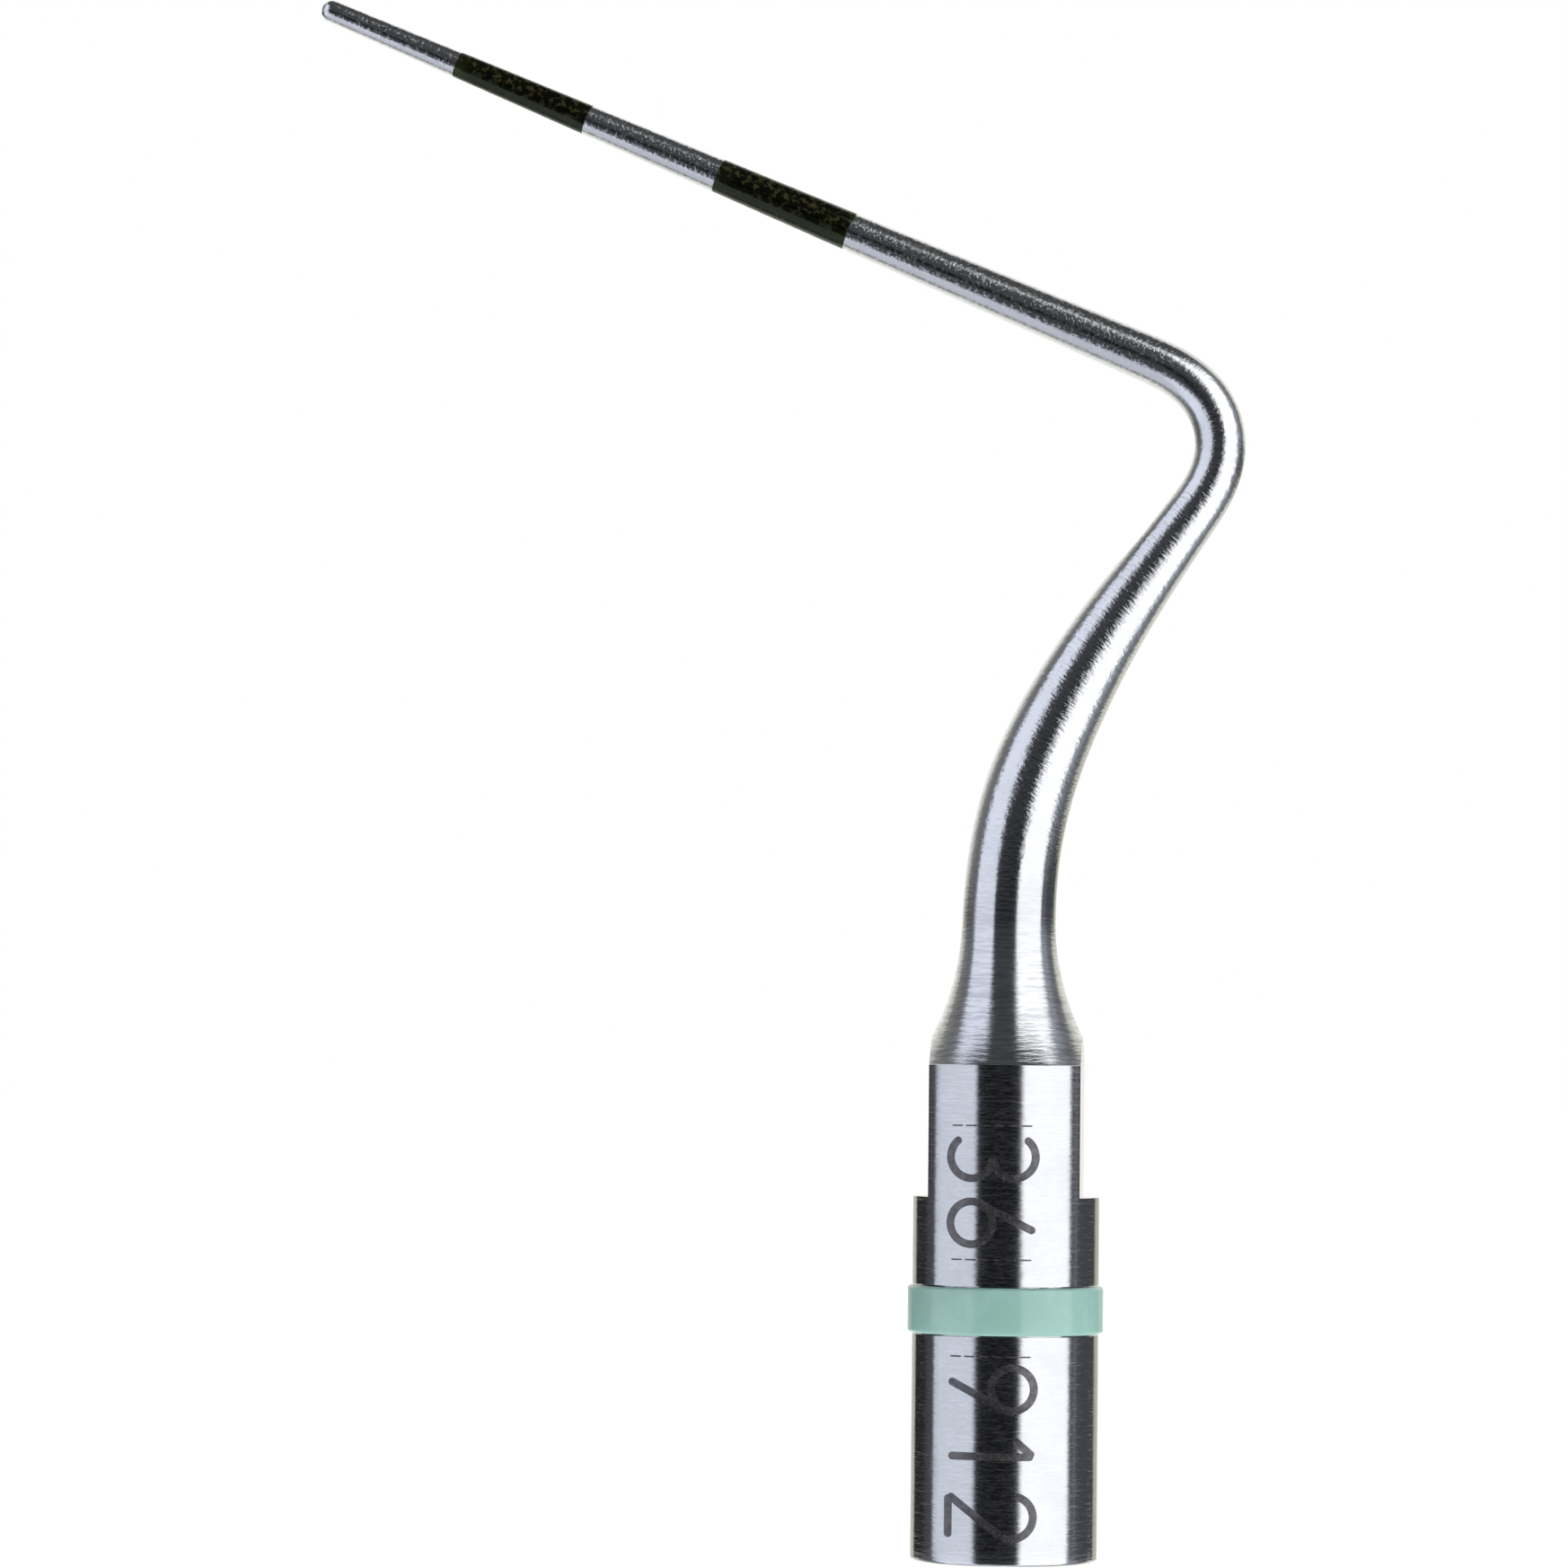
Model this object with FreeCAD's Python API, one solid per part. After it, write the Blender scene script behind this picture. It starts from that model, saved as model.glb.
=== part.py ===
import FreeCAD, Part
import math
import os

V = FreeCAD.Vector

# Screw-on depth-measuring tip for a dental ultrasonic handpiece.  Millimetres.
# The origin is the middle of the hub's bottom face, where the threaded hole opens.
# +Z runs up the hub's axis.  The shank bends in the XZ plane, and the probe arm
# points to -X.  The wrench flats face -X and +X.

# hub
hub_diameter = 3.85
rim_chamfer = 0.07
shoulder_height = 7.45
flats_width = 3.10
hub_top = 10.15

# flare between the hub and the neck, a concave arc that ends tangent to the neck
flare_radius = 5.35
flare_end = 13.12

# colour ring and its groove
ring_bottom = 4.66
ring_height = 0.97
ring_diameter = 4.03
ring_bore_diameter = 3.46
ring_side_gap = 0.03
ring_corner = 0.06
groove_diameter = 3.38

# internal thread M3 x 0.6, drawn as its plain core hole
thread_core_diameter = 2.40
thread_depth = 4.60
thread_mouth_diameter = 3.10
drill_point_angle = 118.0

# centreline of shank and arm: heading against path length, in smooth turns
# (start of the turn, length of the turn, degrees to the left)
turns = [
    (12.10, 5.45, -16.2),
    (13.26, 8.54, -19.7),
    (22.38, 4.32, 102.8),
]
shank_start = turns[0][0]
path_length = 45.48
path_step = 0.02
station_spacing = 0.45

# thickness of shank and arm
tip_radius = 0.225
arm_taper = 0.0140
shank_extra_radius = 0.285
shank_thin_start = 15.20
shank_thin_length = 8.60

# water passage, and the long outlet on the inner side of the shank
water_diameter = 0.50
water_leaves_axis = 18.30
water_slope = 0.21
water_ease = 0.60
water_end = 24.00

# dark depth bands, measured back from the tip, as thin coats in shallow recesses
# (the scale's zero lies where the round end begins, not at its very point)
band_edges = [(3, 6), (9, 12)]
scale_zero = 0.13
band_thickness = 0.04
recess_reach = 0.2

# numerals of the depth scale, engraved down the front of the hub
# (each numeral with the height where it starts; the text reads downwards)
numeral_places = [("3", 8.72), ("6", 7.38), ("9", 4.02), ("1", 2.66), ("2", 1.44)]
numeral_height = 1.74
numeral_middle = -0.19
stroke_width = 0.16
mark_depth = 0.04
scribed_line_heights = [8.92, 6.20, 4.24]
scribed_line_length = 1.70
scribed_line_width = 0.05


def smooth_step(u):
    """Rises from 0 to 1 with level ends."""
    u = min(max(u, 0.0), 1.0)
    return u * u * (3.0 - 2.0 * u)


def heading(s):
    """Direction of the centreline in degrees above +X, at path length s."""
    angle = 90.0
    for start, length, turn in turns:
        angle += turn * smooth_step((s - start) / length)
    return angle


def make_centreline():
    """Points of the centreline every path_step, found by adding up the heading."""
    points = [V(0, 0, 0)]
    count = round(path_length / path_step)
    for i in range(count):
        middle = math.radians(heading((i + 0.5) * path_step))
        step = V(math.cos(middle), 0, math.sin(middle)) * path_step
        points.append(points[-1] + step)
    return points


centreline = make_centreline()


def point_at(s):
    """Point of the centreline at path length s."""
    position = min(max(s / path_step, 0.0), len(centreline) - 1.001)
    i = int(position)
    return centreline[i] + (centreline[i + 1] - centreline[i]) * (position - i)


def direction_at(s):
    """Unit direction of the centreline at path length s."""
    angle = math.radians(heading(s))
    return V(math.cos(angle), 0, math.sin(angle))


def flare_excess(s):
    """How far the flare stands outside the neck at height s."""
    below = max(flare_end - s, 0.0)
    return flare_radius - math.sqrt(flare_radius**2 - below**2)


def shank_radius(s):
    """Radius of neck, shank and arm at path length s."""
    thinning = smooth_step((s - shank_thin_start) / shank_thin_length)
    plain = tip_radius + arm_taper * (path_length - s)
    return plain + shank_extra_radius * (1.0 - thinning) + flare_excess(s)


def tube(stations, radius_of):
    """Solid through circles that stand square to the centreline."""
    circles = []
    for s in stations:
        circle = Part.Circle(point_at(s), direction_at(s), radius_of(s))
        circles.append(Part.Wire([circle.toShape()]))
    return Part.makeLoft(circles, True, False)


def stations_between(start, end, spacing):
    count = max(round((end - start) / spacing), 2)
    return [start + (end - start) * i / count for i in range(count + 1)]


def cylinder(diameter, bottom, top):
    return Part.makeCylinder(diameter / 2.0, top - bottom, V(0, 0, bottom))


def make_hub():
    """Turned hub, flare and the start of the neck, with the two wrench flats."""
    radius = hub_diameter / 2.0
    wire_points = [
        V(0, 0, 0),
        V(radius - rim_chamfer, 0, 0),
        V(radius, 0, rim_chamfer),
        V(radius, 0, hub_top),
    ]
    edges = []
    for a, b in zip(wire_points, wire_points[1:]):
        edges.append(Part.LineSegment(a, b).toShape())
    flare_middle_height = (hub_top + shank_start) / 2.0
    flare_middle = V(shank_radius(flare_middle_height), 0, flare_middle_height)
    flare_head = V(shank_radius(shank_start), 0, shank_start)
    edges.append(Part.Arc(wire_points[-1], flare_middle, flare_head).toShape())
    axis_top = V(0, 0, shank_start)
    edges.append(Part.LineSegment(flare_head, axis_top).toShape())
    edges.append(Part.LineSegment(axis_top, wire_points[0]).toShape())
    face = Part.Face(Part.Wire(edges))
    hub = face.revolve(V(0, 0, 0), V(0, 0, 1), 360)
    for left_edge in (-flats_width / 2.0 - hub_diameter, flats_width / 2.0):
        corner = V(left_edge, -hub_diameter, shoulder_height)
        waste = Part.makeBox(hub_diameter, 2 * hub_diameter, hub_top, corner)
        hub = hub.cut(waste)
    return hub


def make_groove():
    """Ring of metal that is turned away for the colour ring."""
    bottom = ring_bottom - ring_side_gap
    top = ring_bottom + ring_height + ring_side_gap
    outside = cylinder(2 * hub_diameter, bottom, top)
    return outside.cut(cylinder(groove_diameter, bottom, top))


def make_thread_hole():
    """Core hole of the thread with its countersunk mouth and its drill point."""
    core = cylinder(thread_core_diameter, 0.0, thread_depth)
    core_radius = thread_core_diameter / 2.0
    mouth_radius = thread_mouth_diameter / 2.0
    mouth_depth = mouth_radius - core_radius
    mouth = Part.makeCone(mouth_radius, core_radius, mouth_depth)
    point_depth = core_radius / math.tan(math.radians(drill_point_angle / 2.0))
    point = Part.makeCone(core_radius, 0.0, point_depth, V(0, 0, thread_depth))
    return core.fuse([mouth, point])


def passage_point(s):
    """Middle of the bent passage, which drifts to the shank's inner side."""
    past = max(s - water_leaves_axis, 0.0)
    drift = water_slope * past * past / (past + water_ease)
    along = direction_at(s)
    return point_at(s) + V(-along.z, 0, along.x) * drift


def make_water_passage():
    """Bores of the water passage: up the axis, then along and out of the shank."""
    straight = cylinder(water_diameter, thread_depth, shank_start)
    circles = []
    for s in stations_between(shank_start, water_end, station_spacing):
        along = direction_at(s)
        if s > water_leaves_axis:
            along = passage_point(s + path_step) - passage_point(s - path_step)
        circle = Part.Circle(passage_point(s), along, water_diameter / 2.0)
        circles.append(Part.Wire([circle.toShape()]))
    return [straight, Part.makeLoft(circles, True, False)]


def make_band(near, far, outside):
    """Coat between two marks of the scale, standing proud of the arm by outside."""
    start = path_length - scale_zero - far
    end = path_length - scale_zero - near
    stations = stations_between(start, end, station_spacing)
    outer = tube(stations, lambda s: shank_radius(s) + outside)
    inner = tube(stations, lambda s: shank_radius(s) - band_thickness)
    return outer.cut(inner)


def make_arm():
    """Neck, shank, bend and probe arm, with the round end of the tip."""
    stations = stations_between(shank_start, path_length - tip_radius, station_spacing)
    arm = tube(stations, shank_radius)
    ball_radius = shank_radius(stations[-1])
    ball = Part.makeSphere(ball_radius, point_at(stations[-1]))
    return arm.fuse(ball)


def capsule(a, b, width):
    """Round-ended stroke from a to b, as a prism that stands on the XY plane."""
    a = V(a[0], a[1], 0)
    b = V(b[0], b[1], 0)
    across = V(a.y - b.y, b.x - a.x, 0).normalize() * (width / 2.0)
    corners = [a + across, b + across, b - across, a - across, a + across]
    prism = Part.Face(Part.makePolygon(corners)).extrude(V(0, 0, hub_diameter))
    ends = [Part.makeCylinder(width / 2.0, hub_diameter, end) for end in (a, b)]
    return prism.fuse(ends)


def bowl(centre, radius, start_angle, sweep):
    """Round stroke of a numeral, as a prism, running anticlockwise."""
    half = stroke_width / 2.0
    up = V(0, 0, 1)
    middle = V(centre[0], centre[1], 0)
    outer = Part.makeCylinder(radius + half, hub_diameter, middle, up, sweep)
    inner = Part.makeCylinder(radius - half, hub_diameter, middle, up)
    stroke = outer.cut(inner)
    stroke.rotate(middle, up, start_angle)
    if sweep < 360:
        ends = []
        for angle in (start_angle, start_angle + sweep):
            turn = math.radians(angle)
            end = middle + V(math.cos(turn), math.sin(turn), 0) * radius
            ends.append(Part.makeCylinder(half, hub_diameter, end))
        stroke = stroke.fuse(ends)
    return stroke


def numeral(digit):
    """One numeral, upright in the XY plane, its left edge at X = 0."""
    b = numeral_height / 4.0
    w = stroke_width
    if digit == "1":
        strokes = [capsule((b, -2 * b), (b, 2 * b), w),
                   capsule((b, 2 * b), (0.2 * b, 1.1 * b), w)]
    elif digit == "2":
        strokes = [bowl((b, b), b, -30, 200),
                   capsule((b + b * math.cos(math.radians(30)), 0.5 * b), (0, -2 * b), w),
                   capsule((0, -2 * b), (2 * b, -2 * b), w)]
    elif digit == "3":
        strokes = [bowl((b, b), b, -90, 240),
                   bowl((b, -b), b, -150, 240)]
    elif digit == "6":
        strokes = [bowl((b, -b), b, 0, 360),
                   capsule((0.05 * b, -0.7 * b), (1.4 * b, 2 * b), w)]
    else:
        strokes = [bowl((b, b), b, 0, 360),
                   capsule((1.95 * b, 0.7 * b), (0.6 * b, -2 * b), w)]
    return strokes[0].fuse(strokes[1:])


def on_hub_front(shape, height):
    """Stands an XY drawing on the hub's front so that it reads downwards."""
    shape.rotate(V(0, 0, 0), V(1, 0, 0), 90)
    shape.rotate(V(0, 0, 0), V(0, 1, 0), 90)
    shape.translate(V(numeral_middle, 0, height))
    return shape


def make_marks():
    """Numerals 3, 6, 9 and 12 and fine scribed lines, as thin inlays."""
    prisms = []
    for digit, height in numeral_places:
        prisms.append(on_hub_front(numeral(digit), height))
    half = scribed_line_length / 2.0
    for height in scribed_line_heights:
        line = capsule((0, -half), (0, half), scribed_line_width)
        prisms.append(on_hub_front(line, height))
    inked = prisms[0].fuse(prisms[1:])
    skin = cylinder(hub_diameter, 0.0, hub_top).cut(
        cylinder(hub_diameter - 2 * mark_depth, 0.0, hub_top)
    )
    return inked.common(skin)


def make_ring():
    """Colour ring, a plain band with its outer corners slightly rounded."""
    top = ring_bottom + ring_height
    ring = cylinder(ring_diameter, ring_bottom, top)
    ring = ring.cut(cylinder(ring_bore_diameter, ring_bottom, top))
    corners = []
    for edge in ring.Edges:
        box = edge.BoundBox
        if box.ZLength < 1e-6 and abs(box.XLength - ring_diameter) < 1e-3:
            corners.append(edge)
    return ring.makeFillet(ring_corner, corners)


def make_insert(marks, recesses):
    """The one-piece steel tip."""
    insert = make_hub().fuse(make_arm()).removeSplitter()
    insert = insert.cut(make_groove())
    insert = insert.cut(make_thread_hole())
    for waste in make_water_passage() + [marks] + recesses:
        insert = insert.cut(waste)
    return insert


def export(name, shape):
    if not shape.isValid():
        raise ValueError("bad shape: " + name)
    solids = shape.Solids
    shape = solids[0] if len(solids) == 1 else Part.makeCompound(solids)
    shape.exportStep("parts/" + name + ".step")
    box = shape.BoundBox
    print(name, len(solids), "solids", round(shape.Volume, 4), "mm3",
          [round(v, 3) for v in (box.XMin, box.XMax, box.YMin, box.YMax, box.ZMin, box.ZMax)])


os.makedirs("parts", exist_ok=True)
marks = make_marks()
recesses = [make_band(near, far, recess_reach) for near, far in band_edges]
export("steel_insert", make_insert(marks, recesses))
export("colour_ring", make_ring())
for near, far in band_edges:
    export("depth_band_%d_%d_mm" % (near, far), make_band(near, far, 0.0))
export("scale_numerals", marks)
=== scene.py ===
import math
import bmesh
import bpy
from mathutils import Matrix, Vector, kdtree


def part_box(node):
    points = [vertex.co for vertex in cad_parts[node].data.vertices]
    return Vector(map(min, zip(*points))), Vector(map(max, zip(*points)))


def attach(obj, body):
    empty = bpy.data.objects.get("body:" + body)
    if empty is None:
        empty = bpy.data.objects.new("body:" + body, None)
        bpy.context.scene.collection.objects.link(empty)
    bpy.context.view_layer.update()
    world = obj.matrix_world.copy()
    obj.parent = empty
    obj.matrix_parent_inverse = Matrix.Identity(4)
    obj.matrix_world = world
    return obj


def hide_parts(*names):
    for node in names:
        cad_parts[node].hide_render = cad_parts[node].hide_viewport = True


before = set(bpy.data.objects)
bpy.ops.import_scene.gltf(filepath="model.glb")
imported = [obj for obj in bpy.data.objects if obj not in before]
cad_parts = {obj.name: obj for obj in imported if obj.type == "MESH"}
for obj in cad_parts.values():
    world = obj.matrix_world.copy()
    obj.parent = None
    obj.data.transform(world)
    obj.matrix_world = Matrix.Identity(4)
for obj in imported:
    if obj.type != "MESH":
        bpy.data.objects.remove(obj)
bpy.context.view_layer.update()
print("frame loaded:", ", ".join(sorted(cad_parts)))

mm = 0.001    # lengths below are in millimetres

# centreline of shank and arm, heading against path length in smooth turns
tipPath = {
    "turns": [(12.10, 5.45, -16.2), (13.26, 8.54, -19.7), (22.38, 4.32, 102.8)],
    "length": 45.48,
    "step": 0.02,
}


def smoothStep(u):
    u = min(max(u, 0.0), 1.0)
    return u * u * (3.0 - 2.0 * u)


def headingAt(s):
    angle = 90.0
    for start, length, turn in tipPath["turns"]:
        angle += turn * smoothStep((s - start) / length)
    return math.radians(angle)


def makeCentreline():
    step = tipPath["step"]
    points = [Vector((0, 0, 0))]
    for i in range(round(tipPath["length"] / step)):
        angle = headingAt((i + 0.5) * step)
        points.append(points[-1] + Vector((math.cos(angle), 0, math.sin(angle))) * step)
    return points


centreline = makeCentreline()


def pointAt(s):
    position = min(max(s / tipPath["step"], 0.0), len(centreline) - 1.001)
    i = int(position)
    return centreline[i].lerp(centreline[i + 1], position - i)


def directionAt(s):
    angle = headingAt(s)
    return Vector((math.cos(angle), 0, math.sin(angle)))


# thickness of the turned and drawn body, hub first
tipBody = {
    "sides": 96,
    "hubRadius": 1.925,
    "hubTop": 10.15,
    "rimRound": 0.07,
    "grooveDepth": 0.235,
    "grooveBottom": 4.63,
    "grooveTop": 5.66,
    "flareRadius": 5.35,
    "flareEnd": 13.12,
    "tipRadius": 0.225,
    "armTaper": 0.0140,
    "shankExtra": 0.285,
    "thinStart": 15.20,
    "thinLength": 8.60,
}


def bodyRadius(s):
    body = tipBody
    below = max(body["flareEnd"] - s, 0.0)
    flare = body["flareRadius"] - math.sqrt(body["flareRadius"] ** 2 - below ** 2)
    plain = body["tipRadius"] + body["armTaper"] * (tipPath["length"] - s)
    thinning = smoothStep((s - body["thinStart"]) / body["thinLength"])
    return plain + body["shankExtra"] * (1.0 - thinning) + flare


def spread(start, end, spacing):
    count = max(round((end - start) / spacing), 1)
    return [start + (end - start) * i / count for i in range(count)]


def socketValue(tree, target, value):
    # a number or colour sets the socket, another socket is linked to it
    if isinstance(value, bpy.types.NodeSocket):
        tree.links.new(value, target)
    else:
        target.default_value = value


def calc(tree, operation, a, b=0.0, clamp=False):
    node = tree.nodes.new("ShaderNodeMath")
    node.operation = operation
    node.use_clamp = clamp
    socketValue(tree, node.inputs[0], a)
    socketValue(tree, node.inputs[1], b)
    return node.outputs[0]


def ramp(tree, value, low, high, toLow=0.0, toHigh=1.0):
    # smooth change from toLow to toHigh while value goes from low to high
    node = tree.nodes.new("ShaderNodeMapRange")
    node.interpolation_type = "SMOOTHSTEP"
    for socket, number in zip(node.inputs[0:5], (value, low, high, toLow, toHigh)):
        socketValue(tree, socket, number)
    return node.outputs[0]


def addSockets(tree, inputs, outputs):
    for name, kind, default in inputs:
        socket = tree.interface.new_socket(name, in_out="INPUT", socket_type=kind)
        if default is not None:
            socket.default_value = default
    for name, kind in outputs:
        tree.interface.new_socket(name, in_out="OUTPUT", socket_type=kind)
    return tree.nodes.new("NodeGroupInput"), tree.nodes.new("NodeGroupOutput")


def setInputs(modifier, tree, values):
    # modifier inputs go by identifier
    for item in tree.interface.items_tree:
        if item.item_type == "SOCKET" and item.in_out == "INPUT" and item.name in values:
            modifier[item.identifier] = values[item.name]


def linkObject(name, mesh):
    item = bpy.data.objects.new(name, mesh)
    bpy.context.scene.collection.objects.link(item)
    return item


def plainMesh(name, builder):
    # the evaluated result becomes a plain mesh, and the builder object goes
    graph = bpy.context.evaluated_depsgraph_get()
    mesh = bpy.data.meshes.new_from_object(builder.evaluated_get(graph))
    mesh.name = name
    bpy.data.objects.remove(builder)
    return mesh


def wireMesh(name, points, attributes):
    mesh = bpy.data.meshes.new(name)
    edges = [(i, i + 1) for i in range(len(points) - 1)]
    mesh.from_pydata([Vector(p) * mm for p in points], edges, [])
    for key, values in attributes.items():
        mesh.attributes.new(key, "FLOAT", "POINT").data.foreach_set("value", values)
    return mesh


def cleanShell(mesh, sharpAngle):
    # merged doubles, outward faces, smooth shading with crisp edges
    shell = bmesh.new()
    shell.from_mesh(mesh)
    bmesh.ops.remove_doubles(shell, verts=shell.verts, dist=0.0004 * mm)
    bmesh.ops.recalc_face_normals(shell, faces=shell.faces)
    shell.to_mesh(mesh)
    shell.free()
    mesh.shade_smooth()
    mesh.set_sharp_from_angle(angle=math.radians(sharpAngle))
    return mesh


pathFinder = kdtree.KDTree(len(centreline))
for number, point in enumerate(centreline):
    pathFinder.insert(point * mm, number)
pathFinder.balance()


def storeAlong(mesh):
    # millimetres along the centreline, for marks that run round the body
    if "along" in mesh.attributes:
        mesh.attributes.remove(mesh.attributes["along"])
    values = []
    for vertex in mesh.vertices:
        spot, number, distance = pathFinder.find(vertex.co)
        s = number * tipPath["step"]
        values.append(s + (vertex.co - spot).dot(directionAt(s)) / mm)
    mesh.attributes.new("along", "FLOAT", "POINT").data.foreach_set("value", values)


def makeTipSweep():
    # turned and drawn body: a circle swept along the centreline, its radius a rule
    tree = bpy.data.node_groups.new("tipSweep", "GeometryNodeTree")
    inputs = [("Geometry", "NodeSocketGeometry", None), ("Sides", "NodeSocketInt", 96)]
    for name in ("Hub Radius", "Hub Top", "Rim Round", "Flare Radius", "Flare End",
                 "Tip Radius", "Arm Taper", "Path Length", "Shank Extra",
                 "Thin Start", "Thin Length"):
        inputs.append((name, "NodeSocketFloat", 1.0))
    inputs.append(("Material", "NodeSocketMaterial", None))
    given, result = addSockets(tree, inputs, [("Geometry", "NodeSocketGeometry")])
    g = given.outputs
    along = tree.nodes.new("GeometryNodeInputNamedAttribute")
    along.data_type = "FLOAT"
    along.inputs["Name"].default_value = "along"
    s = along.outputs[0]
    recess = tree.nodes.new("GeometryNodeInputNamedAttribute")
    recess.data_type = "FLOAT"
    recess.inputs["Name"].default_value = "recess"

    # hub with its rounded rim
    fromRim = calc(tree, "MAXIMUM", calc(tree, "SUBTRACT", g["Rim Round"], s), 0.0)
    rimArc = calc(tree, "SQRT", calc(tree, "SUBTRACT", calc(tree, "POWER", g["Rim Round"], 2.0),
                                     calc(tree, "POWER", fromRim, 2.0)))
    rimLoss = calc(tree, "SUBTRACT", g["Rim Round"], rimArc)
    hub = calc(tree, "SUBTRACT", g["Hub Radius"], rimLoss)

    # flare, shank and arm
    below = calc(tree, "MAXIMUM", calc(tree, "SUBTRACT", g["Flare End"], s), 0.0)
    flareArc = calc(tree, "SQRT", calc(tree, "MAXIMUM", calc(
        tree, "SUBTRACT", calc(tree, "POWER", g["Flare Radius"], 2.0),
        calc(tree, "POWER", below, 2.0)), 0.0))
    flare = calc(tree, "SUBTRACT", g["Flare Radius"], flareArc)
    toTip = calc(tree, "SUBTRACT", g["Path Length"], s)
    plain = calc(tree, "ADD", g["Tip Radius"], calc(tree, "MULTIPLY", g["Arm Taper"], toTip))
    thinEnd = calc(tree, "ADD", g["Thin Start"], g["Thin Length"])
    extra = calc(tree, "MULTIPLY", g["Shank Extra"],
                 ramp(tree, s, g["Thin Start"], thinEnd, 1.0, 0.0))
    shank = calc(tree, "ADD", calc(tree, "ADD", plain, extra), flare)

    onShank = calc(tree, "GREATER_THAN", s, calc(tree, "ADD", g["Hub Top"], 0.001))
    pick = tree.nodes.new("GeometryNodeSwitch")
    pick.input_type = "FLOAT"
    tree.links.new(onShank, pick.inputs[0])
    tree.links.new(hub, pick.inputs[1])
    tree.links.new(shank, pick.inputs[2])
    radius = calc(tree, "SUBTRACT", pick.outputs[0], recess.outputs[0])

    # round end of the tip
    intoTip = calc(tree, "DIVIDE", calc(tree, "SUBTRACT", g["Tip Radius"], toTip), g["Tip Radius"])
    intoTip = calc(tree, "MAXIMUM", intoTip, 0.0)
    ball = calc(tree, "SQRT", calc(tree, "MAXIMUM", calc(
        tree, "SUBTRACT", 1.0, calc(tree, "POWER", intoTip, 2.0)), 0.0001))
    radius = calc(tree, "MULTIPLY", calc(tree, "MULTIPLY", radius, ball), mm)

    wire = tree.nodes.new("GeometryNodeMeshToCurve")
    tree.links.new(g["Geometry"], wire.inputs[0])
    circle = tree.nodes.new("GeometryNodeCurvePrimitiveCircle")
    tree.links.new(g["Sides"], circle.inputs["Resolution"])
    circle.inputs["Radius"].default_value = 1.0
    skin = tree.nodes.new("GeometryNodeCurveToMesh")
    tree.links.new(wire.outputs[0], skin.inputs["Curve"])
    tree.links.new(circle.outputs[0], skin.inputs["Profile Curve"])
    tree.links.new(radius, skin.inputs["Scale"])
    skin.inputs["Fill Caps"].default_value = True
    closeTree(tree, skin.outputs[0], g["Material"], result)
    return tree


def closeTree(tree, geometry, material, result):
    real = tree.nodes.new("GeometryNodeRealizeInstances")
    tree.links.new(geometry, real.inputs[0])
    paint = tree.nodes.new("GeometryNodeSetMaterial")
    tree.links.new(real.outputs[0], paint.inputs["Geometry"])
    tree.links.new(material, paint.inputs["Material"])
    tree.links.new(paint.outputs[0], result.inputs[0])


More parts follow.
